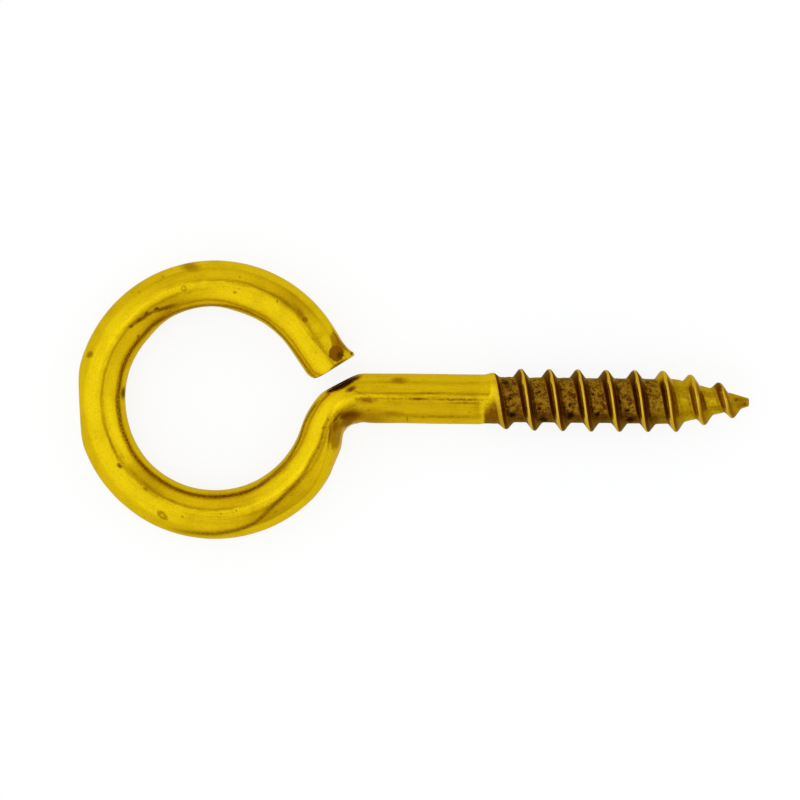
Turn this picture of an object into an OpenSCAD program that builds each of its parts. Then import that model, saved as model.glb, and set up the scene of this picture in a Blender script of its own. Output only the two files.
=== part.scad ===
// Screw eye: one length of round wire. One end is bent into an open eye, the other is rolled
// with a wood screw thread that runs out on a gimlet point.
// The origin is the middle of the eye. +X runs along the shank to the point, and +Z stands
// square to the eye.

/* [Wire] */
// Diameter of the wire
wire_d = 3.88; // [3:0.02:5]
// Diameter that the wire loses at each bend, as it is stretched
bend_loss = 0.03; // [0.01:0.01:0.1]

/* [Eye] */
// Inside diameter of the eye
eye_bore = 14.08; // [10:0.02:30]
// Straight run of wire at the open end of the eye
end_run = 3.2; // [1:0.1:4]
// Gap from the flat on the neck to the middle of the cut end
end_gap = 1.3; // [0.8:0.05:3]
// Angle between the cut end and the flat on the neck
end_skew = 5; // [0:1:20]
// Direction in which the roller's flat on the far side of the eye faces
roller_flat_at = 184; // [150:1:220]
// Depth of the roller's flat
roller_flat_depth = 0.3; // [0.1:0.05:0.6]

/* [Neck] */
// Bend radius of the neck, at the middle of the wire
neck_r = 3.3; // [3:0.1:6]
// Height of the shank's axis over the middle of the eye
shank_rise = 0.25; // [0:0.05:2]
// Direction in which the cut-off tool's flat on the neck faces
cut_flat_at = 118; // [105:1:130]
// Lean of the cut-off tool's flat towards +Z
cut_flat_lean = 10; // [0:1:30]
// Depth of the cut-off tool's flat
cut_flat_depth = 0.4; // [0.05:0.05:0.5]
// Direction in which the bending die's flat on the eye, beside the neck, faces
die_flat_at = -22; // [-35:1:-15]
// Depth of the bending die's flat
die_flat_depth = 0.4; // [0.1:0.05:0.6]
// Radius of the bending die's corner, pressed into the inside of the neck
die_corner_r = 1.2; // [0.8:0.05:1.3]
// Gap between the bending die and the underside of the shank
die_clearance = 0.2; // [0.1:0.05:0.4]

/* [Shank] */
// Length of the straight shank, from the neck to the end of the point
shank_len = 29.75; // [24:0.1:80]

/* [Thread] */
// Length of the thread, with the point
thread_len = 20.7; // [12:0.1:26]
// Pitch of the thread
pitch = 2.21; // [1.5:0.01:3]
// Height of the thread's crest over the wire
crest_rise = 0.49; // [0.2:0.01:0.8]
// Depth of the thread's root below the wire
root_depth = 0.18; // [0.05:0.01:0.4]
// Width of the ridge at its foot
ridge_w = 1.15; // [0.6:0.05:1.4]
// Width of the flat on the ridge's crest
crest_w = 0.2; // [0.1:0.05:0.5]
// Direction in which the ridge starts, from +Y towards +Z
ridge_starts_at = 250; // [0:5:355]
// Turns in which the thread comes up to its full depth
run_in = 1; // [0.5:0.1:2]

/* [Point] */
// Length of the point's cone
point_len = 5.7; // [3:0.1:9]
// Diameter of the blunt end of the point
tip_d = 0.66; // [0.3:0.02:1.2]
// Bare length between the end of the ridge and the end of the point
tip_bare = 0.2; // [0.1:0.05:0.6]
// Turns in which the ridge fades before the end of the point
run_out = 0.4; // [0.2:0.1:1]

/* [Hidden] */

$fn = 96;
brass = [0.83, 0.68, 0.16];

// Every stretch of wire is a little thinner than the one before it, and runs this far into it.
lap = 0.1;
neck_d = wire_d - bend_loss;
eye_d = neck_d - bend_loss;
end_d = eye_d - bend_loss;

// Where the middle of the wire runs: the eye's circle, and the neck's circle that touches it from outside.
eye_r = (eye_bore + eye_d) / 2;
neck_y = shank_rise - neck_r;
neck_x = sqrt(pow(eye_r + neck_r, 2) - pow(neck_y, 2));
neck_at = atan2(neck_y, neck_x);

// The cut end lies end_gap off the flat on the neck, and the eye is bent as far as that leaves room for.
cut_flat_reach = neck_r * cos(cut_flat_lean) + neck_d / 2 - cut_flat_depth;
cut_end_reach = neck_x * cos(cut_flat_at) + neck_y * sin(cut_flat_at)
    + cut_flat_reach / cos(cut_flat_lean) + end_gap;
end_lead = atan2(end_run, eye_r);
bend_ends_at = cut_flat_at + end_lead - acos(cut_end_reach / norm([eye_r, end_run]));
// The straight run leaves the bend in this direction, and its cut end faces in that one.
end_run_at = bend_ends_at - 90;
cut_end_at = cut_flat_at + end_skew - 180;

// The bending die: its flat side bears on the eye, and its round corner lies below the shank.
roller_flat_reach = eye_r + eye_d / 2 - roller_flat_depth;
die_flat_reach = eye_r + eye_d / 2 - die_flat_depth;
die_y = shank_rise - wire_d / 2 - die_clearance - die_corner_r;
die_x = (die_flat_reach + die_corner_r - die_y * sin(die_flat_at)) / cos(die_flat_at);

// The thread along X: where it starts, where the point's cone starts and where the wire ends.
tip_x = neck_x + shank_len;
thread_x = tip_x - thread_len;
cone_x = tip_x - point_len;
root_r = wire_d / 2 - root_depth;
ridge_h = root_depth + crest_rise;
cone_slope = (root_r - tip_d / 2) / point_len;
apex_x = cone_x + root_r / cone_slope;
// The threaded end starts inside the shank, this far below its surface.
blank_sink = 0.03;
blank_r = wire_d / 2 - blank_sink;

// The ridge is drawn by four helices: foot, crest, crest and foot, each [distance from its middle, share of height].
ridge = [[-ridge_w / 2, 0], [-crest_w / 2, 1], [crest_w / 2, 1], [ridge_w / 2, 0]];
last = len(ridge) - 1;
turn_steps = 48;
turns = (tip_x - tip_bare - ridge_w / 2 - thread_x) / pitch;
// The helices start one turn early, inside the shank.
steps = turn_steps + round(turns * turn_steps);

// Turns since the ridge started, at step i along the helices.
function turns_at(i) = i / turn_steps - 1;

// Radius of the root at x: a cylinder, and then the point's cone.
function root_at(x) = root_r - max(0, x - cone_x) * cone_slope;

// Share of the thread's depth that is rolled in after t turns.
function rolled(t) = min(1, max(0, t / run_in));

// Share of the ridge's height that is left after t turns.
function ridge_left(t) = min(1, max(0, (turns_at(steps) - t) / run_out));

// Point i of the helix that follows a given place on the ridge.
function helix_point(place, i) =
    let (t = turns_at(i))
    let (x = thread_x + pitch * t + place[0])
    let (full_r = root_at(x) + place[1] * ridge_h * ridge_left(t))
    let (r = blank_r + (full_r - blank_r) * rolled(t))
    let (a = ridge_starts_at + 360 * t)
    [x, shank_rise + r * cos(a), r * sin(a)];

// Index of point i of helix k in the list of points.
function at(k, i) = k * (steps + 1) + i;

// The threaded end: bands between the helices, the root between one turn and the next, and both ends closed.
module threaded_end() {
    starts_at = at(last, steps) + 1;
    apex = starts_at + 1;
    points = concat(
        [for (place = ridge, i = [0 : steps]) helix_point(place, i)],
        [[thread_x - pitch / 2, shank_rise, 0], [apex_x, shank_rise, 0]]
    );
    bands = [for (k = [0 : last - 1], i = [0 : steps - 1])
        [at(k, i), at(k + 1, i), at(k + 1, i + 1), at(k, i + 1)]];
    roots = [for (i = [0 : steps - turn_steps - 1])
        [at(last, i), at(0, i + turn_steps), at(0, i + turn_steps + 1), at(last, i + 1)]];
    first_turn = [for (i = [0 : turn_steps - 1]) [starts_at, at(0, i), at(0, i + 1)]];
    first_step = concat([[starts_at, at(0, turn_steps), at(last, 0)]],
        [for (k = [0 : last - 1]) [starts_at, at(k + 1, 0), at(k, 0)]]);
    // Over the last turn the helices' ends lie on one line of the cone, so its first facet fans out to them.
    fan = steps - turn_steps + 1;
    last_turn = [for (i = [fan : steps - 1]) [apex, at(last, i + 1), at(last, i)]];
    last_step = concat([[at(last, fan), at(last, fan - 1), at(0, steps)]],
        [for (k = [0 : last - 1]) [at(last, fan), at(k, steps), at(k + 1, steps)]],
        [[at(last, fan), at(last, steps), apex]]);
    faces = concat(bands, roots, first_turn, first_step, last_turn, last_step);
    difference() {
        polyhedron(points, faces, convexity = 10);
        translate([tip_x, shank_rise - wire_d / 2, -wire_d / 2])
            cube([apex_x - tip_x + tip_d, wire_d, wire_d]);
    }
}

// A stretch of wire bent about the Z axis, from one direction round to another.
module bent_wire(d, bend_r, from, to) {
    rotate([0, 0, from])
        rotate_extrude(angle = to - from)
            translate([bend_r, 0])
                circle(d = d);
}

// The angle that the lap takes up on a bend.
function lap_angle(bend_r) = lap / bend_r * 180 / PI;

// A block with one face at x = reach, turned to the direction that its face meets and leaning to +Z.
module flat_tool(direction, lean, reach, thickness) {
    rotate([0, 0, direction])
        rotate([0, -lean, 0])
            translate([reach, -wire_d, -wire_d])
                cube([thickness, 2 * wire_d, 2 * wire_d]);
}

// The plain shank, from the neck to the thread.
module shank() {
    translate([neck_x, shank_rise, 0])
        rotate([0, 90, 0])
            cylinder(d = wire_d, h = thread_x - neck_x);
}

// The neck's bend, from the shank to the eye.
module neck() {
    translate([neck_x, neck_y, 0])
        bent_wire(neck_d, neck_r, 90 - lap_angle(neck_r), 180 + neck_at);
}

// The eye's bend, from its open end round to the neck.
module eye() {
    bent_wire(eye_d, eye_r, bend_ends_at, 360 + neck_at + lap_angle(eye_r));
}

// The straight run at the open end of the eye, cut off beside the neck.
module straight_end() {
    rotate([0, 0, end_run_at])
        translate([-lap, eye_r, 0])
            difference() {
                rotate([0, 90, 0])
                    cylinder(d = end_d, h = lap + end_run + wire_d);
                translate([lap + end_run, 0, 0])
                    flat_tool(cut_end_at - end_run_at, 0, 0, 2 * wire_d);
            }
}

// The die that bends the neck: a block with one round corner.
module bending_die() {
    translate([die_x, die_y, -wire_d]) {
        cylinder(r = die_corner_r, h = 2 * wire_d);
        rotate([0, 0, die_flat_at])
            translate([-die_corner_r, -2 * wire_d, 0])
                cube([2 * die_corner_r, 2 * wire_d, 2 * wire_d]);
    }
}

// The bent end, with the marks of the tools that bent it.
module bent_end() {
    difference() {
        union() {
            shank();
            neck();
            eye();
        }
        translate([neck_x, neck_y, 0])
            flat_tool(cut_flat_at, cut_flat_lean, cut_flat_reach, end_gap / 2);
        flat_tool(roller_flat_at, 0, roller_flat_reach, wire_d);
        bending_die();
    }
    straight_end();
}

module screw_eye() {
    color(brass) {
        bent_end();
        threaded_end();
    }
}

screw_eye();
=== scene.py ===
"""Looks of the screw eye: one closed surface of pressed and rolled wire, its worn brass plate,
a pale floor and a soft light tent. Lengths are in millimetres until the mesh is written."""

import math

import bpy
import numpy as np
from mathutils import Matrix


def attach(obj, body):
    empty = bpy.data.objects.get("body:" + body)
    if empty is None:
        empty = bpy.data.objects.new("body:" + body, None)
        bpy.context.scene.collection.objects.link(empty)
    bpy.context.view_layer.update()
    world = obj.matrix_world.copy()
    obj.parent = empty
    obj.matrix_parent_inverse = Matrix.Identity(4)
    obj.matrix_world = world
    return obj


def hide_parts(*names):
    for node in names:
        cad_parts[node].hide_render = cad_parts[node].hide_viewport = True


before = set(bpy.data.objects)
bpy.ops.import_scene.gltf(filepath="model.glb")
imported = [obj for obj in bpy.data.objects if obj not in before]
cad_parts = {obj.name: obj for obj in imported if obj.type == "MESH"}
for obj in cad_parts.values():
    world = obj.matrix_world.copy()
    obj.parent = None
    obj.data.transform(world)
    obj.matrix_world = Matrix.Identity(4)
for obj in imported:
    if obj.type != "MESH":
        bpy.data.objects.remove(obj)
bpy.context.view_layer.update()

MM = 0.001

# Radius of the wire at the cut end, round the eye, in the neck and along the shank.
END_WIRE_R = 1.89
EYE_WIRE_R = 1.9
NECK_WIRE_R = 1.925
WIRE_R = 1.94

# The middle of the wire: a straight run at the open end, the eye, the neck and the shank.
END_RUN = 3.26
EYE_R = 8.95
BEND_FROM = math.radians(34.9)
NECK_R = 3.3
SHANK_RISE = 0.25
NECK_Y = SHANK_RISE - NECK_R
NECK_X = math.sqrt((EYE_R + NECK_R) ** 2 - NECK_Y ** 2)
NECK_AT = math.atan2(NECK_Y, NECK_X)
EYE_TURN = 2 * math.pi + NECK_AT - BEND_FROM
NECK_TURN = math.pi / 2 + NECK_AT
# Length and turning rate of each stretch, from the cut end on.
STRETCHES = (
    (END_RUN, 0.0),
    (EYE_R * EYE_TURN, 1 / EYE_R),
    (NECK_R * NECK_TURN, -1 / NECK_R),
)
BENT_LEN = sum(length for length, rate in STRETCHES)

# Flats that the tools pressed: the direction each one faces, its lean to +Z, the point that it is
# measured from and its distance from there.
ROLLER_FLAT = (math.radians(183.5), 0.0, (0.0, 0.0), 10.55)
CUT_FLAT = (math.radians(118), math.radians(5), (NECK_X, NECK_Y), 4.9)
# The bending die in the crook of the neck: its flat side, its round corner and its lean over the wire.
DIE_FACES = math.radians(-22)
DIE_REACH = 10.7
DIE_CORNER_AT = (11.25, -3.07)
DIE_CORNER_R = 1.18
DIE_LEAN = math.tan(math.radians(17))

# The thread along X, the sizes of its ridge and root, and the point's cone.
TIP_X = NECK_X + 29.74
THREAD_X = TIP_X - 20.7
CONE_X = TIP_X - 5.7
PITCH = 2.21
CREST_RISE = 0.485
ROOT_DEPTH = 0.18
RIDGE_W = 1.15
CREST_W = 0.2
RIDGE_STARTS_AT = math.radians(250)
TIP_R = 0.33
CONE_SLOPE = (WIRE_R - ROOT_DEPTH - TIP_R) / (TIP_X - CONE_X)

# The mesh: columns round the wire, rings on the cut face, rows along the bent wire, and points across
# one pitch of the thread.
COLUMNS = 84
FACE_RINGS = 8
WIRE_ROWS = 460
PITCH_POINTS = 28
# The thread's lattice in turns from the start of the ridge, and the wire's last ring just before it.
FIRST_TURN = -0.75
LAST_TURN = 9.2
COLUMN_AT = RIDGE_STARTS_AT + 2 * np.pi * (FIRST_TURN + np.arange(COLUMNS) / COLUMNS)
RING_X = THREAD_X + PITCH * (FIRST_TURN - 0.5) - 0.15

# A ray that leans less than this towards a plane doesn't meet it, and reaches this far instead.
LEAST_SLOPE = 0.05
NOT_MET = 99.0


def ease(value, low, high):
    """0 below low and 1 above high, with a smooth S between them."""
    share = np.clip((value - low) / (high - low), 0, 1)
    return share * share * (3 - 2 * share)


def soft_min(a, b, width):
    """The lesser of two values, rounded off over a width where they cross."""
    gap = np.clip(0.5 + 0.5 * (b - a) / width, 0, 1)
    return b + (a - b) * gap - width * gap * (1 - gap)


def soft_noise(points, cell, seed):
    """Smooth unevenness from -1 to 1: random values on a cubic lattice, eased between the eight corners
    of a cell."""
    side = 32
    lattice = np.random.default_rng(seed).uniform(-1, 1, (side, side, side))
    place = points / cell
    corner = np.floor(place).astype(int)
    share = place - corner
    share = share * share * (3 - 2 * share)
    total = np.zeros(points.shape[:-1])
    for step in np.ndindex(2, 2, 2):
        weight = np.prod(np.where(step, share, 1 - share), axis=-1)
        at = (corner + step) % side
        total += weight * lattice[at[..., 0], at[..., 1], at[..., 2]]
    return total


def wire_line(s):
    """Middle of the wire and its heading, s mm from the cut end. Each stretch turns at a constant rate,
    so it adds the chord of its own arc, and what lies past the last stretch runs straight on."""
    heading = BEND_FROM + np.pi / 2
    start = np.array([EYE_R * math.cos(BEND_FROM), EYE_R * math.sin(BEND_FROM)])
    x = np.full_like(s, start[0] - END_RUN * math.cos(heading))
    y = np.full_like(s, start[1] - END_RUN * math.sin(heading))
    turned = np.full_like(s, heading)
    gone = 0.0
    for length, rate in STRETCHES:
        run = np.clip(s - gone, 0, length)
        if rate:
            x += (np.sin(heading + rate * run) - np.sin(heading)) / rate
            y += (np.cos(heading) - np.cos(heading + rate * run)) / rate
        else:
            x += run * math.cos(heading)
            y += run * math.sin(heading)
        turned += rate * run
        heading += rate * length
        gone += length
    x += np.clip(s - gone, 0, None) * math.cos(heading)
    return x, y, turned


def reach_to_plane(away, slope):
    """How far a ray goes before it meets a plane: its distance over the slope of the ray towards it."""
    return np.where(slope > LEAST_SLOPE, away / np.maximum(slope, LEAST_SLOPE), NOT_MET)


def flat_limit(x, y, side_x, side_y, around, flat):
    """How far a section may reach from the wire's middle before it meets a pressed flat: the distance to
    the plane, over the cosine between the plane's normal and the direction in the section."""
    faces, lean, point, reach = flat
    normal = (math.cos(faces) * math.cos(lean), math.sin(faces) * math.cos(lean), math.sin(lean))
    away = reach - (x - point[0]) * normal[0] - (y - point[1]) * normal[1]
    slope = (side_x * normal[0] + side_y * normal[1]) * np.cos(around) + normal[2] * np.sin(around)
    return reach_to_plane(away, slope)


def die_distance(x, y, side_x, side_y):
    """How far right of the wire's middle the bending die stands: a ray to the right meets the circle of its
    corner, or past the corner the line of its flat side, and the nearer of the two counts. Where neither is
    near, the distance is held at a limit, and it is evened out along a few rows."""
    far = 9.0
    least_slope = 0.2
    least_corner = 0.5
    limit = 2.6
    even_rows = 5
    to_x, to_y = x - DIE_CORNER_AT[0], y - DIE_CORNER_AT[1]
    along = -(to_x * side_x + to_y * side_y)
    inside = along ** 2 - (to_x ** 2 + to_y ** 2 - DIE_CORNER_R ** 2)
    corner = np.where(inside > 0, -along - np.sqrt(np.maximum(inside, 0)), far)
    normal_x, normal_y = math.cos(DIE_FACES), math.sin(DIE_FACES)
    slope = -(side_x * normal_x + side_y * normal_y)
    away = DIE_REACH - x * normal_x - y * normal_y
    flat = np.where(slope > least_slope, away / np.maximum(slope, least_slope), far)
    past = (to_x - flat * side_x) * normal_y - (to_y - flat * side_y) * normal_x
    flat = np.where(past > 0, flat, far)
    nearest = np.minimum(np.where(corner > least_corner, corner, far), flat)
    soften = np.hanning(2 * even_rows + 1)
    soften /= soften.sum()
    padded = np.pad(nearest[:, 0], even_rows, mode="edge")
    return np.convolve(np.minimum(padded, limit), soften, mode="valid")[:, None] + 0 * x


def shank_dirt(s, around):
    """Share of dirt on the shank: mostly on its -Y side, from the neck to the thread's first groove, and
    rubbed off again along the edge of that side."""
    along = ease(s, BENT_LEN - 2, BENT_LEN + 0.5) * (1 - ease(s, BENT_LEN + 8.6, BENT_LEN + 9.0))
    rubbed_off = 0.7 * ease(s, BENT_LEN + 0.5, BENT_LEN + 2) * ease(-np.cos(around), 0.76, 0.88)
    return along * (0.35 + 0.65 * ease(-np.cos(around), -0.15, 0.2) - rubbed_off)


def bent_wire():
    """The bent wire up to the thread, as rows along it and columns round it. A point is the wire's middle
    plus the section's radius, along cos(around) to the left of the heading and sin(around) up. The radius
    is the drawn wire's, less what the bends stretched thin, and no further than the tools' flats let it
    go."""
    run = BENT_LEN + RING_X - NECK_X
    s = (run * np.linspace(0, 1, WIRE_ROWS) ** 1.08)[:, None]
    around = COLUMN_AT[None, :] + 0 * s
    # The cut is skewed, and its inner corner lies further back.
    skew = 0.08 * (1 + np.cos(around)) + 0.12 * np.clip(np.cos(around), 0, 1) ** 6
    s = s + skew * np.clip(1 - s / 2, 0, 1)
    free = np.interp(s, [0, END_RUN, END_RUN + 4, BENT_LEN - 6, BENT_LEN - 2, BENT_LEN + 1],
                     [END_WIRE_R, END_WIRE_R, EYE_WIRE_R, EYE_WIRE_R, NECK_WIRE_R, WIRE_R])
    x, y, heading = wire_line(s)
    side_x, side_y = -np.sin(heading), np.cos(heading)
    eye_at = np.degrees(heading) - 90
    leftward = np.clip(np.cos(around), 0, 1) ** 2
    rightward = np.clip(-np.cos(around), 0, 1) ** 4

    # The inside of the eye is thinned near +Y and bulges a little near -X, across from the neck, and the
    # outside of the neck's bend is stretched thin.
    in_eye = ease(s, END_RUN, END_RUN + 2) * (1 - ease(s, BENT_LEN - 6, BENT_LEN - 3))
    thinned = 0.23 * np.exp(-((eye_at - 105) / 24) ** 4) - 0.08 * np.exp(-((eye_at - 187) / 24) ** 2)
    neck_thinned = 0.11 * np.exp(-((s - BENT_LEN + 2.6) / 1.6) ** 4)
    radius = free - (in_eye * thinned + neck_thinned) * leftward

    # The cut rolled the inner corner over and drew the outer one out to a lip.
    radius -= 0.5 * np.clip(1 - s / 1.0, 0, 1) ** 2 * leftward
    lip = 0.13 * np.exp(-((s - 0.2) / 0.35) ** 2) - 0.08 * np.exp(-((s - 1.4) / 0.8) ** 2)
    radius += lip * rightward

    # The roller's flat and the cut-off tool's flat, which left the metal sheared. The cut-off tool's flat
    # also carries a painted dark reflection of the shaded floor in the gap by the cut end.
    limit = flat_limit(x, y, side_x, side_y, around, ROLLER_FLAT)
    radius = radius + in_eye * (soft_min(radius, limit, 0.25) - radius)
    limit = flat_limit(x, y, side_x, side_y, around, CUT_FLAT)
    by_cut = ease(s, BENT_LEN - 9, BENT_LEN - 8)
    sheared_and_dark_reflection = by_cut * ease(radius - limit + 0.04 * ease(x, 9.2, 10.6), 0.0, 0.2)
    radius = radius + by_cut * (soft_min(radius, limit, 0.06) - radius)

    # The die leans over the wire: the outline that it leaves is met below the middle of the section, at the
    # angle whose cosine is the outline's share of the radius.
    outline = die_distance(x, y, side_x, side_y)
    below = np.arccos(np.clip(outline / free, 0, 1))
    stands = np.where(outline < free, free * (np.cos(below) - DIE_LEAN * np.sin(below)), outline)
    toward_die = DIE_LEAN * np.sin(around) - np.cos(around)
    limit = reach_to_plane(stands, toward_die)
    in_crook = ease(s, BENT_LEN - 14, BENT_LEN - 10)
    radius = radius + in_crook * (soft_min(radius, limit, 0.8) - radius)

    # Handling and drawing left the wire a little uneven.
    straight = np.stack([s, WIRE_R * np.cos(around), WIRE_R * np.sin(around)], axis=-1)
    radius += 0.012 * soft_noise(straight * [0.35, 1.0, 1.0], 0.9, 3)
    radius += 0.006 * soft_noise(straight * [0.8, 1.6, 1.6], 0.5, 4)

    points = np.stack([
        x + radius * np.cos(around) * side_x,
        y + radius * np.cos(around) * side_y,
        radius * np.sin(around),
    ], axis=-1)

    # The cut face: rings from its middle out to the rim, a little hollow.
    inward = np.array([math.cos(heading[0, 0]), math.sin(heading[0, 0]), 0])
    middle = points[0].mean(axis=0)
    hollow = 0.06
    share = (np.arange(1, FACE_RINGS) / FACE_RINGS)[:, None, None]
    face = middle + (points[0][None] - middle) * share
    torn = 0.02 * soft_noise(face, 0.35, 8)[..., None]
    face = face + hollow * (1 - share ** 2) * inward + torn * inward
    pole = middle + hollow * inward

    # A painted dark reflection: a line along the inside of the eye and up the neck, where the wire mirrors
    # the shaded far side of the eye, and a painted line from the outside of the eye to the middle of the
    # neck, where it mirrors the tent's dark seam. Dirt lies on the shank.
    side = np.cos(around) + 0.025 * soft_noise(straight, 1.3, 5)
    edge_at = np.interp(eye_at, [50, 75, 92, 110, 130, 150, 230, 290, 330, 345],
                        [0.89, 0.87, 0.93, 0.90, 0.80, 0.75, 0.72, 0.75, 0.87, 0.92])
    edge_w = np.interp(eye_at, [60, 110, 150, 290, 330], [0.05, 0.10, 0.09, 0.09, 0.05])
    painted_dark_reflection = np.exp(-((side - edge_at) / edge_w) ** 2) * (1 - ease(s, BENT_LEN - 3.4, BENT_LEN - 2.6))
    # The line from the outside of the eye to the neck is painted: the dark reflection of the tent's seam.
    painted_seam_line_at = np.interp(s - BENT_LEN, [-18.5, -16.2, -13.3, -11.8, -10.2, -8.3, -6.9, -3.6, -2.7],
                         [-0.84, -0.79, -0.62, -0.28, -0.07, -0.04, 0.06, 0.05, 0.2])
    drawn = ease(s, BENT_LEN - 20, BENT_LEN - 17) * (1 - ease(s, BENT_LEN - 4, BENT_LEN - 2.3))
    painted_dark_reflection = np.maximum(painted_dark_reflection, 0.9 * drawn * np.exp(-((side - painted_seam_line_at) / 0.08) ** 2))
    dulled = shank_dirt(s, around)

    on_face = np.ones(face.shape[:2])
    face_straight = np.concatenate([np.zeros(face.shape[:2] + (1,)),
                                    straight[0][None, :, 1:] * share], axis=-1)
    return {
        "pole": pole,
        "points": np.concatenate([face, points]),
        "straight": np.concatenate([face_straight, straight]),
        "sheared_and_dark_reflection": np.concatenate([on_face, sheared_and_dark_reflection]),
        "painted_dark_reflection": np.concatenate([0 * on_face, painted_dark_reflection]),
        "dulled": np.concatenate([0 * on_face, dulled]),
        "none": np.concatenate([0 * on_face, 0 * s]),
    }


def rolled_thread():
    """The thread as a lattice: steps along the helix, and points across one pitch, closer together on the
    ridge. A point lies at its own distance along X from the ridge's middle, and its radius is the root's
    plus the ridge's share of the height between root and crest. The ridge's section is a trapezoid with its
    corners rounded off."""
    steps = int(round((LAST_TURN - FIRST_TURN) * COLUMNS)) + 1
    turn = (FIRST_TURN + np.arange(steps) / COLUMNS)[:, None]
    spread = np.linspace(-1, 1, PITCH_POINTS, endpoint=False)
    off = PITCH / 2 * (0.55 * spread + 0.45 * spread ** 3)[None, :]
    around = RIDGE_STARTS_AT + 2 * np.pi * turn + 0 * off
    x = THREAD_X + PITCH * turn + off

    # Near the blunt end the lattice is drawn together, so that it ends before the wire does.
    squeeze_x, room = TIP_X - 0.7, 0.6
    past = np.maximum(x - squeeze_x, 0)
    x = np.minimum(x, squeeze_x) + room * (1 - np.exp(-past / room))

    # The groove is rolled in over its first turn, and the cone starts with a soft edge.
    groove = np.where(off > 0, turn, turn - 1)
    cut_in = ease(groove, -0.55, 0.35)
    cone_edge = 0.12
    cone = CONE_SLOPE * np.logaddexp(0, (x - CONE_X) / cone_edge) * cone_edge
    root = WIRE_R - ROOT_DEPTH * 1.05 * cut_in - cone
    rise = np.clip(turn / 1.05, 0, 1)
    height = CREST_RISE * rise * (1 - 0.06 * ease(x, CONE_X, TIP_X - 1.5))
    fade = 1 - ease(turn, LAST_TURN - 0.42, LAST_TURN - 0.08)
    crest = root + (WIRE_R - cone + height - root) * fade
    flank = (RIDGE_W / 2 - np.abs(off)) / ((RIDGE_W - CREST_W) / 2) + 0 * turn
    shape = soft_min(flank, np.ones_like(flank), 0.14)
    shape = np.clip(-soft_min(-shape, np.zeros_like(shape), 0.22), 0, 1)
    straight = np.stack([BENT_LEN + x - NECK_X, WIRE_R * np.cos(around), WIRE_R * np.sin(around)], axis=-1)

    # The roots are rough, and the crest wavers a little.
    uneven = 0.02 * soft_noise(straight, 0.8, 11) + 0.028 * soft_noise(straight, 0.3, 12)
    wobble = 0.02 * soft_noise(straight * [0.5, 1, 1], 0.9, 13) * rise
    radius = root + (crest - root) * shape + uneven * cut_in * (1 - shape)
    radius = radius + wobble * shape * fade - 0.02 * shape * rise
    points = np.stack([x, SHANK_RISE + radius * np.cos(around), radius * np.sin(around)], axis=-1)

    # The blunt end: rings that close in over its rounded rim.
    tip_ring_x = np.array([TIP_X - 0.075, TIP_X - 0.03, TIP_X - 0.006])[:, None]
    tip_ring_r = TIP_R * np.array([0.98, 0.82, 0.45])[:, None]
    tip_around = COLUMN_AT[None, :] + 0 * tip_ring_x
    tip_y, tip_z = tip_ring_r * np.cos(tip_around), tip_ring_r * np.sin(tip_around)
    tip_x = tip_ring_x + 0 * tip_around

    # The point is cleaner than the roots, most of all in the middle of its grooves.
    at_point = ease(x, CONE_X - 2.2, CONE_X + 1.2)
    clean_point = 1 - (0.5 + 0.3 * ease(np.abs(off), 0.6, 0.95)) * at_point
    # The first groove is stained from the -Y side on, as far as a sharp edge across the shank.
    in_first = ease(x, THREAD_X + 0.02, THREAD_X + 0.12)
    further = 0.38 * ease(x, THREAD_X + 0.3, THREAD_X + 0.7)
    in_first = in_first * ease(-np.cos(around) + further, 0.1, 0.75)
    stained = np.where(groove < 0, 0.92 * in_first, 1.0)
    # The ridge is rubbed clean along its crest, and over the crest's -X corner and flank the band is a
    # painted highlight. It is narrower on the +Y side.
    narrower = 0.16 * ease(np.cos(around), 0.5, 0.9)
    rubbed_and_highlight = ease(off, narrower - 0.35, narrower - 0.26) * (1 - ease(off, -0.01, 0.09))
    # The last ridges are worn clean on the +Y side, and the painted shade on the flanks of all of them is
    # lighter there, where light falls on them.
    top = ease(np.cos(around), 0.6, 0.9)
    worn = 0.65 * top * ease(x, CONE_X - 3, CONE_X - 2) * (1 - ease(np.abs(off), 0.5, 0.7))
    tarnish = stained * (1 - rubbed_and_highlight * rise) * clean_point * (1 - worn)
    # The ridge's flanks are darkened: partly tarnish, partly painted shade.
    on_ridge = ease(off, -0.66, -0.50) * (1 - ease(off, 0.20, 0.38))
    steep = np.where(groove < 0, 0.35, 1.0) * stained * on_ridge * (1 - rubbed_and_highlight)
    steep = steep * (1 - 0.6 * at_point) * (1 - 0.15 * top - worn)
    return {
        "points": points,
        "straight": straight,
        "root": tarnish,
        "flank": steep,
        "crest": rubbed_and_highlight * rise,
        "dulled": shank_dirt(straight[..., 0], around),
        "tip": np.stack([tip_x, SHANK_RISE + tip_y, tip_z], axis=-1),
        "tip_straight": np.stack([BENT_LEN + tip_x - NECK_X, tip_y, tip_z], axis=-1),
        "tip_pole": np.array([TIP_X, SHANK_RISE, 0.0]),
    }


def grid_faces(first, rows, columns):
    """Quads of a grid whose columns close round the wire, facing outwards."""
    row, column = np.meshgrid(np.arange(rows - 1), np.arange(columns), indexing="ij")
    here = first + row * columns + column
    beside = first + row * columns + (column + 1) % columns
    return np.stack([here, beside, beside + columns, here + columns], axis=-1).reshape(-1, 4)


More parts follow.
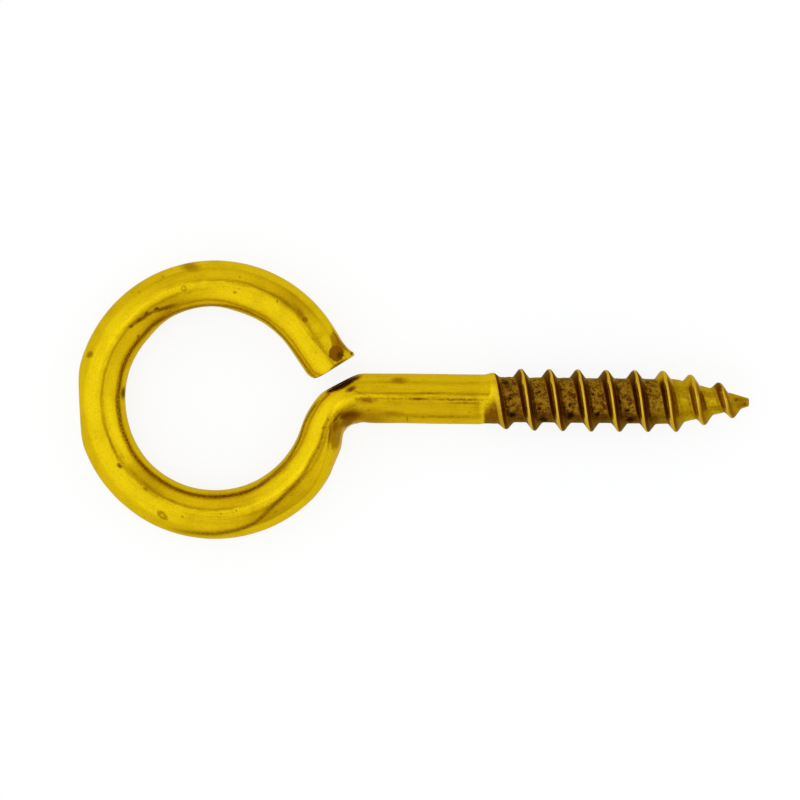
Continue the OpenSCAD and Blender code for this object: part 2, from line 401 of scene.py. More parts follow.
def screw_eye_mesh():
    """One closed surface: the cut face, the bent wire, the thread's lattice and the blunt point, stitched
    row to row. Where the lattice starts and ends there is a step of one pitch, and a fan of triangles closes
    it."""
    wire, thread = bent_wire(), rolled_thread()
    wire_rows = wire["points"].shape[0]
    steps, across = thread["points"].shape[:2]
    first_row = 1
    lattice = first_row + wire_rows * COLUMNS
    tip = lattice + steps * across
    tip_pole = tip + thread["tip"].shape[0] * COLUMNS

    points = np.concatenate([
        wire["pole"][None],
        wire["points"].reshape(-1, 3),
        thread["points"].reshape(-1, 3),
        thread["tip"].reshape(-1, 3),
        thread["tip_pole"][None],
    ])
    straight = np.concatenate([
        np.zeros((1, 3)),
        wire["straight"].reshape(-1, 3),
        thread["straight"].reshape(-1, 3),
        thread["tip_straight"].reshape(-1, 3),
        [[BENT_LEN + TIP_X - NECK_X, 0, 0]],
    ])
    tip_count = len(points) - tip

    def spread(name, pole, lattice_values, tip_value):
        tip_values = np.full(tip_count, tip_value)
        return np.concatenate([[pole], wire[name].ravel(), lattice_values.ravel(), tip_values])

    none = np.zeros((steps, across))
    layers = {
        "root": spread("none", 0.0, thread["root"], 0.35),
        "flank": spread("none", 0.0, thread["flank"], 0.0),
        "crest": spread("none", 0.0, thread["crest"], 0.0),
        "sheared_and_dark_reflection": spread("sheared_and_dark_reflection", 1.0, none, 0.0),
        "painted_dark_reflection": spread("painted_dark_reflection", 0.0, none, 0.0),
        "dulled": spread("dulled", 0.0, thread["dulled"], 0.0),
    }

    def at(step, place):
        return lattice + step * across + place

    ring = np.arange(COLUMNS)
    last_ring = first_row + (wire_rows - 1) * COLUMNS
    quads = [grid_faces(first_row, wire_rows, COLUMNS)]
    step, place = np.meshgrid(np.arange(steps - 1), np.arange(across - 1), indexing="ij")
    quads.append(np.stack([at(step, place), at(step + 1, place),
                           at(step + 1, place + 1), at(step, place + 1)], axis=-1).reshape(-1, 4))
    step = np.arange(steps - 1 - COLUMNS)
    quads.append(np.stack([at(step, across - 1), at(step + 1, across - 1),
                           at(step + 1 + COLUMNS, 0), at(step + COLUMNS, 0)], axis=-1))
    step = np.arange(COLUMNS - 1)
    quads.append(np.stack([last_ring + step, last_ring + step + 1, at(step + 1, 0), at(step, 0)], axis=-1))
    step = np.arange(steps - COLUMNS, steps - 1)
    quads.append(np.stack([at(step, across - 1), at(step + 1, across - 1),
                           tip + (step + 1) % COLUMNS, tip + step % COLUMNS], axis=-1))
    quads.append(grid_faces(tip, thread["tip"].shape[0], COLUMNS))

    # The cut face's pole and the point's pole.
    tris = [np.stack([np.zeros_like(ring), first_row + (ring + 1) % COLUMNS, first_row + ring], axis=-1)]
    tip_last = tip_pole - COLUMNS
    tris.append(np.stack([tip_last + ring, tip_last + (ring + 1) % COLUMNS,
                          np.full_like(ring, tip_pole)], axis=-1))
    # The step at the thread's start fans out from the last column of the wire.
    corner = last_ring + COLUMNS - 1
    edge = np.concatenate([[last_ring], at(0, np.arange(across)), [at(COLUMNS, 0), at(COLUMNS - 1, 0)]])
    tris.append(np.stack([np.full(len(edge) - 1, corner), edge[:-1], edge[1:]], axis=-1))
    # The step at the thread's end fans out from the second point of the lattice's last open edge.
    open_at = steps - 1 - COLUMNS
    column = open_at % COLUMNS
    corner = at(open_at + 1, across - 1)
    edge = np.concatenate([[at(open_at, across - 1)], at(steps - 1, np.arange(across)), [tip + column],
                           [tip + (column + 1) % COLUMNS]])
    tris.append(np.stack([np.full(len(edge) - 1, corner), edge[1:], edge[:-1]], axis=-1))
    faces = np.concatenate(quads).tolist() + np.concatenate(tris).tolist()
    return points, faces, straight, layers


def make_screw_eye():
    """The closed surface as a mesh in metres. Its attributes hold each point's place on the wire as it was
    before it was bent, and the shares of dirt and wear and of painted shade, highlight and dark reflection."""
    points, faces, straight, layers = screw_eye_mesh()
    mesh = bpy.data.meshes.new("screw_eye_wire")
    mesh.from_pydata((points * MM).tolist(), [], faces)
    mesh.shade_smooth()
    along = mesh.attributes.new("straight_wire", "FLOAT_VECTOR", "POINT")
    along.data.foreach_set("vector", straight.astype(np.float32).ravel())
    for name, values in layers.items():
        layer = mesh.attributes.new(name, "FLOAT", "POINT")
        layer.data.foreach_set("value", values.astype(np.float32))
    mesh.update()
    piece = bpy.data.objects.new("screw_eye_wire", mesh)
    bpy.context.scene.collection.objects.link(piece)
    return piece


class Board:
    """A node tree with short calls that add nodes and join them. A socket is linked and a number is set."""

    def __init__(self, tree):
        self.tree = tree

    def put(self, kind, inputs=(), **settings):
        node = self.tree.nodes.new(kind)
        for name, value in settings.items():
            setattr(node, name, value)
        for name, value in dict(inputs).items():
            self.feed(node.inputs[name], value)
        return node

    def feed(self, socket, value):
        if isinstance(value, bpy.types.NodeSocket):
            self.tree.links.new(value, socket)
        else:
            socket.default_value = value

    def sum(self, operation, a, b=0.0, clamp=False):
        """One step of arithmetic."""
        node = self.put("ShaderNodeMath", {0: a, 1: b}, operation=operation, use_clamp=clamp)
        return node.outputs[0]

    def vector(self, operation, a, b=(0, 0, 0)):
        node = self.put("ShaderNodeVectorMath", {0: a, 1: b}, operation=operation)
        return node.outputs["Value" if operation in ("DOT_PRODUCT", "LENGTH") else "Vector"]

    def scale(self, vector, factor):
        node = self.put("ShaderNodeVectorMath", {0: vector, "Scale": factor}, operation="SCALE")
        return node.outputs["Vector"]

    def span(self, value, low, high, to_low=0.0, to_high=1.0):
        """A value eased from the span low to high onto another span, and held at its ends."""
        node = self.put("ShaderNodeMapRange", {"Value": value, "From Min": low, "From Max": high,
                                               "To Min": to_low, "To Max": to_high},
                        interpolation_type="SMOOTHSTEP")
        return node.outputs["Result"]

    def noise(self, vector, scale, detail=2.0, roughness=0.5):
        node = self.put("ShaderNodeTexNoise", {"Vector": vector, "Scale": scale, "Detail": detail,
                                               "Roughness": roughness})
        return node.outputs["Fac"]

    def mix(self, share, a, b):
        """Colour a, with a share of colour b."""
        node = self.put("ShaderNodeMix", {0: share, 6: a, 7: b}, data_type="RGBA")
        return node.outputs[2]


def group(name, inputs, outputs):
    """A shader node group with named sockets, and its inner input and output nodes."""
    tree = bpy.data.node_groups.new(name, "ShaderNodeTree")
    for label, kind, value in inputs:
        socket = tree.interface.new_socket(label, in_out="INPUT", socket_type=kind)
        socket.default_value = value
    for label in outputs:
        tree.interface.new_socket(label, in_out="OUTPUT", socket_type="NodeSocketFloat")
    board = Board(tree)
    return tree, board, board.put("NodeGroupInput").outputs, board.put("NodeGroupOutput").inputs


def streak_group():
    """Lines drawn along the wire: noise that is stretched along the wire and fine round it, cut at a
    level."""
    tree, board, given, out = group("drawn_streaks", (
        ("Wire", "NodeSocketVector", (0, 0, 0)),
        ("Length", "NodeSocketFloat", 4.0),
        ("Width", "NodeSocketFloat", 0.15),
        ("Level", "NodeSocketFloat", 0.58),
    ), ("Mask",))
    split = board.put("ShaderNodeSeparateXYZ", {0: given["Wire"]}).outputs
    along = board.sum("DIVIDE", split[0], given["Length"])
    across = board.sum("DIVIDE", split[1], given["Width"])
    up = board.sum("DIVIDE", split[2], given["Width"])
    stretched = board.put("ShaderNodeCombineXYZ", {0: along, 1: across, 2: up}).outputs[0]
    lines = board.noise(stretched, 1.0, 3.0, 0.55)
    high = board.sum("ADD", given["Level"], 0.16)
    board.feed(out["Mask"], board.span(lines, given["Level"], high))
    return tree


def speck_group():
    """Specks: round spots about the points of a cell pattern, of which only some cells have one."""
    tree, board, given, out = group("specks", (
        ("Position", "NodeSocketVector", (0, 0, 0)),
        ("Spacing", "NodeSocketFloat", 0.5),
        ("Size", "NodeSocketFloat", 0.25),
        ("Share", "NodeSocketFloat", 0.3),
    ), ("Mask",))
    bent = board.put("ShaderNodeTexNoise", {"Vector": given["Position"], "Scale": 3.0, "Detail": 2.0})
    bent = board.vector("SUBTRACT", bent.outputs["Color"], (0.5, 0.5, 0.5))
    bent = board.scale(bent, 0.25)
    place = board.vector("ADD", given["Position"], bent)
    frequency = board.sum("DIVIDE", 1.0, given["Spacing"])
    cells = board.put("ShaderNodeTexVoronoi", {"Vector": place, "Scale": frequency, "Randomness": 1.0})
    chance = board.put("ShaderNodeSeparateColor", {0: cells.outputs["Color"]}).outputs
    size = board.sum("MULTIPLY", given["Size"], board.sum("ADD", 0.4, chance[1]))
    inner = board.sum("MULTIPLY", size, 0.45)
    spot = board.span(cells.outputs["Distance"], size, inner)
    there = board.sum("LESS_THAN", chance[0], given["Share"])
    board.feed(out["Mask"], board.sum("MULTIPLY", spot, there))
    return tree


# The edge of a mark is ragged in proportion to its radius, up to this one.
MOST_RAGGED = 0.28


def mark_group():
    """One mark on the surface: an uneven spot about a point, drawn out along a direction, and the rim round
    it."""
    tree, board, given, out = group("mark", (
        ("Position", "NodeSocketVector", (0, 0, 0)),
        ("Uneven", "NodeSocketFloat", 0.0),
        ("Centre", "NodeSocketVector", (0, 0, 0)),
        ("Along", "NodeSocketVector", (1, 0, 0)),
        ("Stretch", "NodeSocketFloat", 1.0),
        ("Radius", "NodeSocketFloat", 0.3),
        ("Fade", "NodeSocketFloat", 0.1),
    ), ("Mask", "Rim"))
    off = board.vector("SUBTRACT", given["Position"], given["Centre"])
    shorten = board.sum("SUBTRACT", 1.0, board.sum("DIVIDE", 1.0, given["Stretch"]))
    along = board.sum("MULTIPLY", board.vector("DOT_PRODUCT", off, given["Along"]), shorten)
    off = board.vector("SUBTRACT", off, board.scale(given["Along"], along))
    ragged = board.sum("MULTIPLY", given["Uneven"], board.sum("MINIMUM", given["Radius"], MOST_RAGGED))
    distance = board.sum("ADD", board.vector("LENGTH", off), ragged)
    outer = board.sum("ADD", given["Radius"], given["Fade"])
    inner = board.sum("SUBTRACT", given["Radius"], given["Fade"])
    board.feed(out["Mask"], board.span(distance, outer, inner))
    beside = board.sum("ABSOLUTE", board.sum("SUBTRACT", distance, given["Radius"]))
    board.feed(out["Rim"], board.span(beside, given["Fade"], 0.0))
    return tree


# Stains, spots and smears on the top of the wire, and one painted shade beside the shank: x, y, radius,
# fade, how far it is drawn out and in which direction, and the share of brown inside it, of dark on its rim
# and of dark inside it. A pit in a groove is black inside, and a mark that is drawn out further than
# DOTTED_FROM is broken up into dots.
DOTTED_FROM = 8
MARKS = (
    ("stain at the cut end", 9.44, 3.70, 0.52, 0.11, 1.1, 103, 1.0, 0.75, 0.0),
    ("tail of that stain", 9.33, 4.58, 0.32, 0.10, 2.4, 104, 0.65, 0.0, 0.0),
    ("broad part of that tail", 9.72, 4.28, 0.32, 0.12, 1.8, 125, 0.65, 0.0, 0.0),
    ("border of that tail", 9.44, 4.97, 0.07, 0.08, 8.0, -59, 0.75, 0.0, 0.2),
    ("lower border of that tail", 10.10, 4.12, 0.08, 0.08, 6.0, -43, 0.75, 0.0, 0.2),
    ("heart of that stain", 9.68, 3.56, 0.22, 0.14, 1.3, 60, 0.0, 0.0, 0.65),
    ("burr at the cut end", 10.62, 3.72, 0.10, 0.08, 1.4, 60, 0.0, 0.0, 0.95),
    ("dirt along the cut end", 9.64, 2.93, 0.08, 0.07, 7.0, 33, 0.8, 0.0, 0.6),
    ("dot on the crest", 6.97, 6.30, 0.17, 0.10, 1.0, 0, 0.75, 0.35, 0.0),
    ("smear above the dot", 6.55, 6.80, 0.24, 0.2, 2.6, -54, 0.7, 0.0, 0.0),
    ("line to the cut end", 7.70, 4.70, 0.07, 0.08, 13.0, -50, 0.6, 0.0, 0.0),
    ("dent on the neck", 10.60, 0.94, 0.17, 0.12, 2.2, 24, 0.9, 0.0, 0.5),
    ("scratch from that dent", 11.25, 0.66, 0.07, 0.07, 6.0, -20, 0.6, 0.0, 0.0),
    ("smudge at the neck", 11.80, 0.10, 0.20, 0.16, 3.2, -4, 0.85, 0.0, 0.0),
    ("dot on the neck", 8.84, -1.46, 0.08, 0.07, 1.0, 0, 0.8, 0.0, 0.0),
    ("lower dot on the neck", 8.46, -2.09, 0.08, 0.07, 1.4, 60, 0.8, 0.0, 0.0),
    ("residue in the crook", 10.50, -1.15, 0.48, 0.26, 2.0, 4, 0.95, 0.0, 0.3),
    ("heart of that residue", 10.45, -1.22, 0.26, 0.2, 2.0, 8, 0.0, 0.0, 0.5),
    ("residue at the crook's edge", 10.42, -1.80, 0.36, 0.24, 1.4, 70, 0.9, 0.0, 0.4),
    ("residue above the die's print", 9.95, -1.80, 0.22, 0.16, 1.6, 60, 0.8, 0.0, 0.25),
    # Painted shade on the shank's lower side beside the crook.
    ("painted shade along the shank", 11.9, -1.05, 0.42, 0.40, 2.6, 0, 0.55, 0.0, 0.0),
    ("dull lower edge of the shank", 12.3, -1.48, 0.22, 0.22, 7.0, 0, 0.5, 0.0, 0.0),
    ("residue down the crook", 9.40, -1.95, 0.26, 0.18, 1.8, 66, 0.85, 0.0, 0.25),
    ("print of the die's corner", 9.48, -2.75, 0.42, 0.10, 2.5, 81, 0.72, 0.0, 0.0),
    ("border of that print", 8.98, -2.62, 0.10, 0.09, 8.0, 84, 0.9, 0.0, 0.3),
    ("upper border of that print", 9.42, -1.42, 0.10, 0.08, 5.0, 54, 0.9, 0.0, 0.35),
    ("brown end of the cut-off tool's flat", 11.0, 1.82, 0.18, 0.15, 2.0, 20, 0.85, 0.0, 0.25),
    ("spot on the far side", -9.73, 3.39, 0.16, 0.14, 1.4, 40, 0.7, 0.25, 0.15),
    ("blister", -2.47, 8.61, 0.17, 0.13, 1.0, 0, 0.0, 0.45, 0.0),
    ("patch on the outer edge", -2.05, 10.35, 0.36, 0.25, 1.9, -10, 0.6, 0.0, 0.1),
    ("dot at the top", 1.50, 8.34, 0.09, 0.07, 1.3, 30, 0.6, 0.0, 0.1),
    ("line down to the lower left", -7.90, -3.67, 0.07, 0.07, 18.0, -67, 0.6, 0.0, 0.1),
    ("spot at the lower left", -7.30, -5.22, 0.16, 0.10, 1.4, -50, 0.9, 0.0, 0.3),
    ("second spot at the lower left", -5.26, -6.99, 0.12, 0.10, 1.5, -30, 0.7, 0.0, 0.1),
    ("pit", -3.95, -9.02, 0.18, 0.14, 1.9, -40, 0.35, 0.5, 0.0),
    ("dull part of the eye's lower outside", -1.2, -9.9, 0.9, 0.8, 3.4, -6, 0.14, 0.0, 0.0),
    ("chip on the inner edge", -7.12, 0.45, 0.14, 0.10, 3.0, 88, 0.5, 0.0, 0.8),
    ("dirt inside the eye", -5.75, 6.20, 0.14, 0.10, 7.5, 33, 0.9, 0.0, 0.2),
    ("more dirt inside the eye", -4.0, 7.05, 0.14, 0.10, 6.5, 18, 0.9, 0.0, 0.15),
    ("dot in that dirt", -6.50, 5.62, 0.10, 0.08, 1.4, 40, 0.9, 0.0, 0.4),
    ("second dot in that dirt", -5.90, 6.12, 0.09, 0.08, 1.6, 40, 0.9, 0.0, 0.35),
    ("third dot in that dirt", -5.32, 6.66, 0.11, 0.08, 1.5, 35, 0.9, 0.0, 0.4),
    ("fourth dot in that dirt", -4.58, 7.02, 0.10, 0.08, 1.8, 20, 0.9, 0.0, 0.4),
    ("dirt on the inner edge", -4.32, 6.15, 0.12, 0.12, 6.0, 38, 0.8, 0.0, 0.15),
    ("spots below that dirt", -5.98, 4.85, 0.09, 0.08, 1.6, 60, 0.7, 0.0, 0.15),
    ("dull part of the eye's outside", -6.3, 7.9, 1.1, 1.0, 2.4, 38, 0.14, 0.0, 0.0),
    ("upper patch on the shank", 14.30, 1.66, 0.22, 0.16, 2.6, 0, 0.7, 0.0, 0.0),
    ("upper streak on the shank", 14.2, 1.50, 0.06, 0.06, 26.0, 0, 0.45, 0.0, 0.0),
    ("middle streak on the shank", 17.0, 0.66, 0.06, 0.07, 50.0, 0, 0.4, 0.0, 0.0),
    ("dark part of that streak", 16.6, 0.68, 0.07, 0.07, 9.0, 0, 0.65, 0.0, 0.1),
    ("long streak on the shank", 16.3, 0.22, 0.09, 0.09, 42.0, 0, 0.65, 0.0, 0.0),
    ("dark part of the long streak", 15.8, 0.24, 0.08, 0.07, 6.0, 0, 0.8, 0.0, 0.3),
    ("second dark part of it", 19.05, 0.21, 0.08, 0.07, 14.0, 0, 0.9, 0.0, 0.35),
    ("short streak on the shank", 19.3, -0.04, 0.07, 0.08, 12.0, 0, 0.75, 0.0, 0.1),
    ("smear under the shank", 13.8, -0.94, 0.20, 0.18, 3.8, 0, 0.55, 0.0, 0.0),
    ("lower streak on the shank", 17.6, -1.13, 0.10, 0.10, 26.0, 0, 0.6, 0.0, 0.0),
    ("scratch under the shank", 14.98, -1.35, 0.05, 0.05, 5.0, 100, 0.7, 0.0, 0.0),
    ("brown before the first ridge", 21.45, -0.85, 0.42, 0.25, 1.4, -75, 0.6, 0.0, 0.0),
    ("pit in the first groove", 23.14, -0.92, 0.19, 0.10, 1.5, 10, 0.0, 0.0, 0.95),
    ("pit in the second groove", 25.55, -1.28, 0.21, 0.10, 1.5, -10, 0.0, 0.0, 0.95),
    ("small pit in the second groove", 25.24, -0.43, 0.12, 0.07, 1.4, 0, 0.0, 0.0, 0.9),
    ("pit in the third groove", 27.65, -0.95, 0.23, 0.12, 1.3, 30, 0.0, 0.0, 0.95),
    ("small pit in the third groove", 27.60, -0.10, 0.12, 0.07, 1.2, 60, 0.0, 0.0, 0.9),
    ("pit in the fourth groove", 29.75, -0.81, 0.17, 0.10, 1.3, 60, 0.0, 0.0, 0.95),
    ("lower pit in the fifth groove", 32.32, -1.20, 0.20, 0.10, 1.5, 0, 0.0, 0.0, 0.95),
    ("pit in the fifth groove", 32.09, -0.48, 0.13, 0.08, 1.4, 0, 0.0, 0.0, 0.9),
    ("upper pit in the first groove", 22.63, 1.55, 0.18, 0.10, 1.3, 0, 0.0, 0.0, 0.9),
    ("dirt on the last ridge", 39.13, 1.45, 0.26, 0.14, 1.6, -65, 0.85, 0.0, 0.65),
    ("dirt on the tip", 40.95, 0.28, 0.26, 0.22, 1.6, 0, 0.5, 0.0, 0.2),
    ("dot on the tip", 40.55, 0.42, 0.10, 0.08, 1.4, 20, 0.7, 0.0, 0.4),
    ("second dot on the tip", 41.25, 0.12, 0.09, 0.08, 1.3, 80, 0.7, 0.0, 0.4),
)


def brass_plate():
    """Worn brass plate: bright gold that dulls in clouds and along drawn streaks, brown in the thread's
    roots and on stains, nearly black on the cut faces and the ridge's flanks, with specks and shallow pits.
    Light and
    shade are painted in too: a dark reflection inside the eye, up the neck and on the cut-off tool's flat,
    shade on the flanks and beside the shank, and a highlight along the crest."""
    material = bpy.data.materials.new("brass_plate")
    material.use_nodes = True
    tree = material.node_tree
    tree.nodes.clear()
    board = Board(tree)
    streaks, specks, mark = streak_group(), speck_group(), mark_group()

    place = board.scale(board.put("ShaderNodeTexCoord").outputs["Object"], 1 / MM)
    x, y, z = board.put("ShaderNodeSeparateXYZ", {0: place}).outputs
    wire = board.put("ShaderNodeAttribute", attribute_name="straight_wire").outputs["Vector"]

    def layer(name):
        return board.put("ShaderNodeAttribute", attribute_name=name).outputs["Fac"]

    def use(tree_of, **inputs):
        node = board.put("ShaderNodeGroup", node_tree=tree_of)
        for label, value in inputs.items():
            board.feed(node.inputs[label], value)
        return node.outputs

    def times(share, factor):
        return board.sum("MULTIPLY", share, factor)

    gold = (0.88, 0.64, 0.005, 1)
    dull = (0.50, 0.30, 0.003, 1)
    brown = (0.30, 0.112, 0.002, 1)
    dark = (0.06, 0.010, 0.0005, 1)
    black = (0.012, 0.003, 0.0003, 1)
    rubbed_and_highlight = (0.70, 0.46, 0.035, 1)
    root_light = (0.34, 0.185, 0.008, 1)
    root_dark = (0.10, 0.029, 0.003, 1)
    scratched = (0.52, 0.32, 0.02, 1)

    root, flank, crest = layer("root"), layer("flank"), layer("crest")
    sheared_and_dark_reflection, painted_dark_reflection, dulled = layer("sheared_and_dark_reflection"), layer("painted_dark_reflection"), layer("dulled")
    clouds = board.span(board.noise(place, 0.45, 4.0, 0.6), 0.45, 0.75)
    grain = board.span(board.noise(place, 6.0, 3.0, 0.6), 0.48, 0.75)
    # Marks are uneven, and none of them goes on round the wire to its underside.
    uneven = times(board.sum("SUBTRACT", board.noise(place, 4.5, 3.0, 0.6), 0.5), 1.1)
    uneven = board.sum("ADD", uneven, board.span(z, 0.0, -0.5, 0.0, 50.0))
    from_above = board.put("ShaderNodeCombineXYZ", {0: x, 1: y}).outputs[0]
    long_streaks = use(streaks, Wire=wire, Length=6.0, Width=0.24, Level=0.56)["Mask"]
    fine_streaks = use(streaks, Wire=wire, Length=2.0, Width=0.1, Level=0.56)["Mask"]
    fine_specks = use(specks, Position=place, Spacing=0.6, Size=0.2, Share=0.12)["Mask"]

    colour = board.mix(times(clouds, 0.3), gold, dull)
    colour = board.mix(times(grain, 0.33), colour, dull)
    colour = board.mix(times(long_streaks, board.sum("ADD", 0.22, times(dulled, 0.4))), colour, dull)
    colour = board.mix(times(fine_streaks, board.sum("ADD", 0.2, times(dulled, 0.25))), colour, dull)
    colour = board.mix(times(dulled, 0.5), colour, dull)
    # The painted dark reflection along the inside of the eye and up the neck, broken up a little: brown,
    # then dark.
    broken = board.span(board.noise(place, 7.0, 2.0, 0.6), 0.38, 0.58, 0.6, 1.0)
    colour = board.mix(times(painted_dark_reflection, broken), colour, brown)
    colour = board.mix(times(times(painted_dark_reflection, broken), 0.3), colour, dark)
    colour = board.mix(times(fine_specks, 0.45), colour, brown)

    # The roots are patchy and darker on the -Y side, with light scratches and veins, and with pits. The
    # point is browner than the shank.
    lower = board.span(y, -0.3, -1.0, 1.0, 0.25)
    patchy = board.span(board.noise(place, 2.2, 5.0, 0.75), 0.42, 0.61)
    in_roots = board.mix(times(patchy, lower), root_dark, root_light)
    scratches = board.span(board.noise(place, 5.0, 3.0, 0.7), 0.57, 0.66)
    in_roots = board.mix(times(scratches, times(lower, 0.5)), in_roots, scratched)
    veins = board.sum("ABSOLUTE", board.sum("SUBTRACT", board.noise(place, 2.8, 3.0, 0.6), 0.5))
    some_places = board.span(board.noise(place, 1.6, 2.0, 0.5), 0.42, 0.56)
    veins = times(board.span(veins, 0.045, 0.005), some_places)
    in_roots = board.mix(times(veins, times(lower, 0.6)), in_roots, scratched)
    root_pits = times(root, use(specks, Position=place, Spacing=0.45, Size=0.26, Share=0.35)["Mask"])
    at_point = board.span(x, CONE_X - 2.6, CONE_X + 1.4)
    browned = times(at_point, board.span(board.noise(place, 1.5, 4.0, 0.7), 0.38, 0.62, 0.18, 0.42))
    colour = board.mix(browned, colour, brown)
    # The crest's band: rubbed plate, and towards -X a painted highlight.
    colour = board.mix(times(crest, 0.8), colour, rubbed_and_highlight)
    colour = board.mix(root, colour, in_roots)
    # The ridge's flanks, brown to nearly black: partly tarnish, partly painted shade.
    colour = board.mix(board.span(flank, 0.0, 0.6), colour, brown)
    colour = board.mix(board.span(flank, 0.2, 1.0, 0.0, 0.88), colour, dark)
    colour = board.mix(times(root_pits, 0.85), colour, black)

    dotted = board.span(board.noise(place, 3.5, 3.0, 0.7), 0.38, 0.56, 0.35, 1.0)
    stained = sheared_and_dark_reflection
    for name, at_x, at_y, radius, fade, stretch, degrees, tint, rim, heart in MARKS:
        turn = math.radians(degrees)
        spot = use(mark, Position=from_above, Uneven=uneven, Centre=(at_x, at_y, 0), Stretch=stretch,
                   Radius=radius, Fade=fade, Along=(math.cos(turn), math.sin(turn), 0))
        mask = times(spot["Mask"], dotted) if stretch > DOTTED_FROM else spot["Mask"]
        if tint:
            colour = board.mix(times(mask, tint), colour, brown)
        if rim:
            colour = board.mix(times(spot["Rim"], rim), colour, dark)
        if heart:
            colour = board.mix(times(mask, heart), colour, black if "groove" in name else dark)
        share = times(mask, max(tint, rim, heart))
        stained = board.sum("MAXIMUM", stained, share)
    # The sheared faces go brown, then nearly black; on the cut-off tool's flat this is a painted dark
    # reflection.
    colour = board.mix(board.span(sheared_and_dark_reflection, 0.0, 0.5), colour, brown)
    colour = board.mix(board.span(sheared_and_dark_reflection, 0.15, 0.8), colour, dark)

    # The sheared faces, with the painted dark reflection on the cut-off tool's flat, are dull, dirt is
    # rougher than plate, and the plate keeps its warm tint at the edges.
    shader = board.put("ShaderNodeBsdfPrincipled")
    board.feed(shader.inputs["Base Color"], colour)
    board.feed(shader.inputs["Metallic"], board.span(sheared_and_dark_reflection, 0.6, 0.9, 1.0, 0.0))
    rough = board.sum("ADD", 0.19, times(grain, 0.08))
    rough = board.sum("ADD", rough, times(root, 0.22))
    rough = board.sum("ADD", rough, times(stained, 0.2))
    board.feed(shader.inputs["Roughness"], rough)
    shader.inputs["Specular IOR Level"].default_value = 0.0
    shader.inputs["Specular Tint"].default_value = (1.0, 0.86, 0.5, 1)
    # The surface is a little lumpy, with streaks, specks and pits sunk into it.
    height = times(board.noise(place, 4.0, 4.0, 0.65), 0.5)
    height = board.sum("SUBTRACT", height, times(fine_streaks, 0.25))
    height = board.sum("SUBTRACT", height, times(fine_specks, 0.4))
    height = board.sum("SUBTRACT", height, times(root_pits, 2.0))
    bump = board.put("ShaderNodeBump", {"Height": height, "Strength": 0.6, "Distance": 0.022 * MM})
    board.feed(shader.inputs["Normal"], bump.outputs["Normal"])
    out = board.put("ShaderNodeOutputMaterial")
    board.feed(out.inputs["Surface"], shader.outputs[0])
    return material


def pale_floor():
    """A round pale floor just under the wire. The wire lies on its thread's crests and on the far side of
    the eye, so the floor falls by that little angle towards the point. The lens sees it white, with
    the wire's soft shadow, a mirror sees it partly white, and from below it is clear."""
    gap = 0.02
    eye_rest = (-EYE_R, -EYE_WIRE_R)
    crest_rest = (25.3, -(WIRE_R + CREST_RISE))
    slope = (crest_rest[1] - eye_rest[1]) / (crest_rest[0] - eye_rest[0])
    rings, spokes, reach = 24, 96, 900.0
    out = reach * (np.arange(rings + 1) / rings)[:, None] ** 2
    turn = (2 * np.pi * np.arange(spokes) / spokes)[None, :]
    x, y = out * np.cos(turn), out * np.sin(turn)
    z = eye_rest[1] + slope * (x - eye_rest[0]) - gap
    points = np.stack([x, y, z], axis=-1)[1:].reshape(-1, 3)
    middle = np.array([[0, 0, eye_rest[1] - slope * eye_rest[0] - gap]])
    around = np.arange(spokes)
    fan = np.stack([np.full(spokes, rings * spokes), around, (around + 1) % spokes], axis=-1)
    faces = grid_faces(0, rings, spokes)[:, ::-1].tolist() + fan.tolist()
    mesh = bpy.data.meshes.new("pale_floor")
    mesh.from_pydata((np.concatenate([points, middle]) * MM).tolist(), [], faces)
    floor = bpy.data.objects.new("pale_floor", mesh)
    bpy.context.scene.collection.objects.link(floor)
    material = bpy.data.materials.new("pale_floor")
    material.use_nodes = True
    tree = material.node_tree
    tree.nodes.clear()
    board = Board(tree)
    rays = board.put("ShaderNodeLightPath").outputs
    soft = board.put("ShaderNodeBsdfDiffuse", {"Color": (0.20, 0.215, 0.23, 1)})
    white = board.put("ShaderNodeEmission", {"Color": (0.84, 0.84, 0.84, 1)})
    shown = board.put("ShaderNodeAddShader", {0: soft.outputs[0], 1: white.outputs[0]})
    plain = board.put("ShaderNodeBsdfDiffuse", {"Color": (0.8, 0.8, 0.8, 1)})
    mirrored = board.sum("ADD", rays["Is Glossy Ray"], rays["Is Transmission Ray"])
    mirrored = board.sum("MULTIPLY", mirrored, 0.32)
    share = board.sum("ADD", rays["Is Camera Ray"], mirrored, clamp=True)
    top = board.put("ShaderNodeMixShader", {0: share, 1: plain.outputs[0], 2: shown.outputs[0]})
    clear = board.put("ShaderNodeBsdfTransparent")
    below = board.put("ShaderNodeNewGeometry").outputs["Backfacing"]
    both = board.put("ShaderNodeMixShader", {0: below, 1: top.outputs[0], 2: clear.outputs[0]})
    board.feed(board.put("ShaderNodeOutputMaterial").inputs["Surface"], both.outputs[0])
    mesh.materials.append(material)
    return floor


# Brightness of the tent's panels, by the direction that they stand in: degrees from +X towards +Y.
# The one at -X has a brightness of 1.
TENT_PANELS = (
    (-150, 0.96), (-130, 0.99), (-110, 0.95), (-90, 0.94), (-80, 0.74), (-70, 0.50), (-60, 0.56),
    (-50, 0.68), (-30, 0.80), (-10, 0.86), (10, 1.02), (30, 1.0), (42, 0.66), (52, 0.52), (65, 0.72),
    (90, 0.82), (110, 0.70), (122, 0.86), (135, 0.99), (150, 0.98),
)


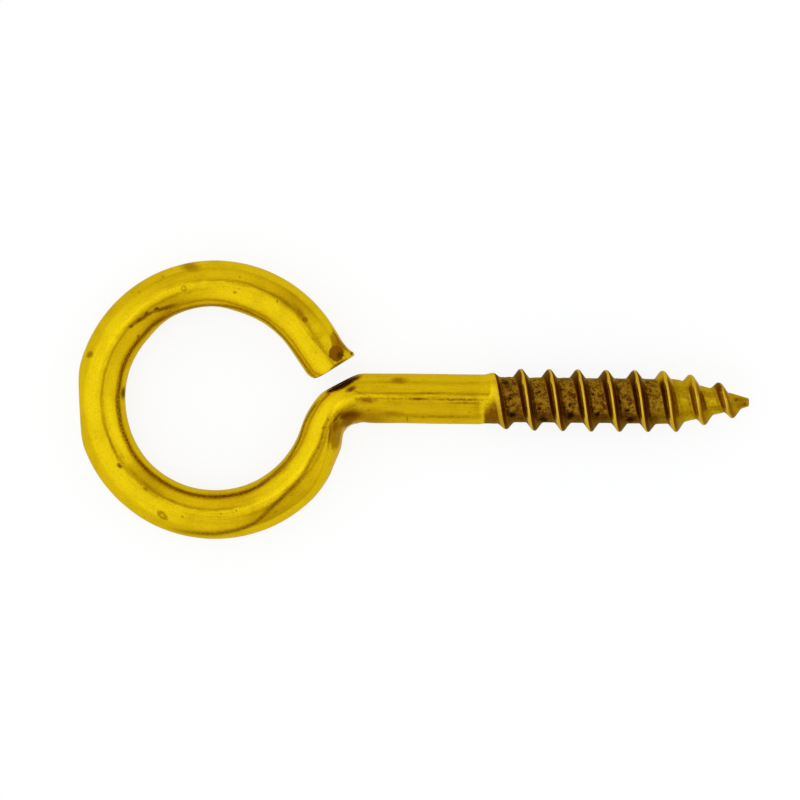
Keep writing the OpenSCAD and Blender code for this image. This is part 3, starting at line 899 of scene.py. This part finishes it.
def light_tent():
    """Soft white light from all round: panels of different brightness, a ceiling that is even but for two
    dark seams and one brighter patch, and less light near the floor. Dim light is warm, and the lens sees
    plain white."""
    world = bpy.data.worlds.new("light_tent")
    world.use_nodes = True
    tree = world.node_tree
    tree.nodes.clear()
    board = Board(tree)
    toward = board.put("ShaderNodeTexCoord").outputs["Generated"]
    split = board.put("ShaderNodeSeparateXYZ", {0: toward}).outputs
    turn = board.sum("ARCTAN2", split[1], split[0])
    turn = board.sum("ADD", board.sum("DIVIDE", turn, 2 * math.pi), 0.5)
    panels = board.put("ShaderNodeValToRGB", {"Fac": turn})
    stops = panels.color_ramp.elements
    stops[0].position, stops[1].position = 0.0, 1.0
    for element in list(stops):
        element.color = (1.0, 1.0, 1.0, 1)
    for degrees, level in TENT_PANELS:
        stop = stops.new(degrees / 360 + 0.5)
        stop.color = (level, level, level, 1)
    level = board.put("ShaderNodeSeparateColor", {0: panels.outputs["Color"]}).outputs[0]
    # The even ceiling, and places on it as slopes along X and Y.
    ceiling_level = 0.95
    overhead = board.span(split[2], math.cos(math.radians(24)), math.cos(math.radians(10)))
    level = board.put("ShaderNodeMix", {0: overhead, 2: level, 3: ceiling_level}).outputs[0]
    high = board.sum("MAXIMUM", split[2], 0.05)
    across = board.sum("DIVIDE", split[0], high)
    up = board.sum("DIVIDE", split[1], high)
    # The seams: one along Y and one along X, each with its place, its middle and its reach from there.
    seams = ((across, up, 0.18, -0.07, 0.40), (up, across, 0.42, 0.13, 0.26))
    for here, there, at, middle, reach in seams:
        gap = board.sum("ABSOLUTE", board.sum("SUBTRACT", here, at))
        dark = board.span(gap, 0.03, 0.16, 0.42, 1.0)
        past = board.sum("ABSOLUTE", board.sum("SUBTRACT", there, middle))
        dark = board.sum("MAXIMUM", dark, board.span(past, reach - 0.1, reach + 0.1))
        level = board.sum("MULTIPLY", level, dark)
    # The brighter patch of the ceiling.
    off = board.put("ShaderNodeCombineXYZ", {0: across, 1: up}).outputs[0]
    off = board.vector("LENGTH", board.vector("SUBTRACT", off, (-0.24, 0.27, 0)))
    level = board.sum("ADD", level, board.span(off, 0.28, 0.06, 0.0, 0.28))
    low = board.span(split[2], 0.0, 0.5, 0.8, 1.0)
    level = board.sum("MULTIPLY", level, low)
    rays = board.put("ShaderNodeLightPath").outputs
    level = board.sum("MAXIMUM", level, rays["Is Camera Ray"])
    tint = board.mix(level, (1.0, 0.62, 0.3, 1), (1, 1, 1, 1))
    back = board.put("ShaderNodeBackground", {"Color": tint, "Strength": level})
    board.feed(board.put("ShaderNodeOutputWorld").inputs["Surface"], back.outputs[0])
    bpy.context.scene.world = world


def lens_overhead():
    """The camera looks straight down through a long lens, rolled so that the shank falls a little to the
    right."""
    picture_pixels = 800
    pixels_per_mm = 12.84
    roll = math.radians(0.63)
    aim = (14.41, 0.133)
    away = 600.0
    data = bpy.data.cameras.new("lens")
    data.sensor_width = 36.0
    data.lens = away * data.sensor_width / (picture_pixels / pixels_per_mm)
    data.clip_start, data.clip_end = 0.01, 10.0
    camera = bpy.data.objects.new("lens", data)
    camera.location = (aim[0] * MM, aim[1] * MM, away * MM)
    camera.rotation_euler = (0, 0, roll)
    bpy.context.scene.collection.objects.link(camera)
    bpy.context.scene.camera = camera


piece = make_screw_eye()
piece.data.materials.append(brass_plate())
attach(piece, "root")
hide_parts("screw_eye")
pale_floor()
light_tent()
lens_overhead()
bpy.context.scene.view_settings.view_transform = "Standard"
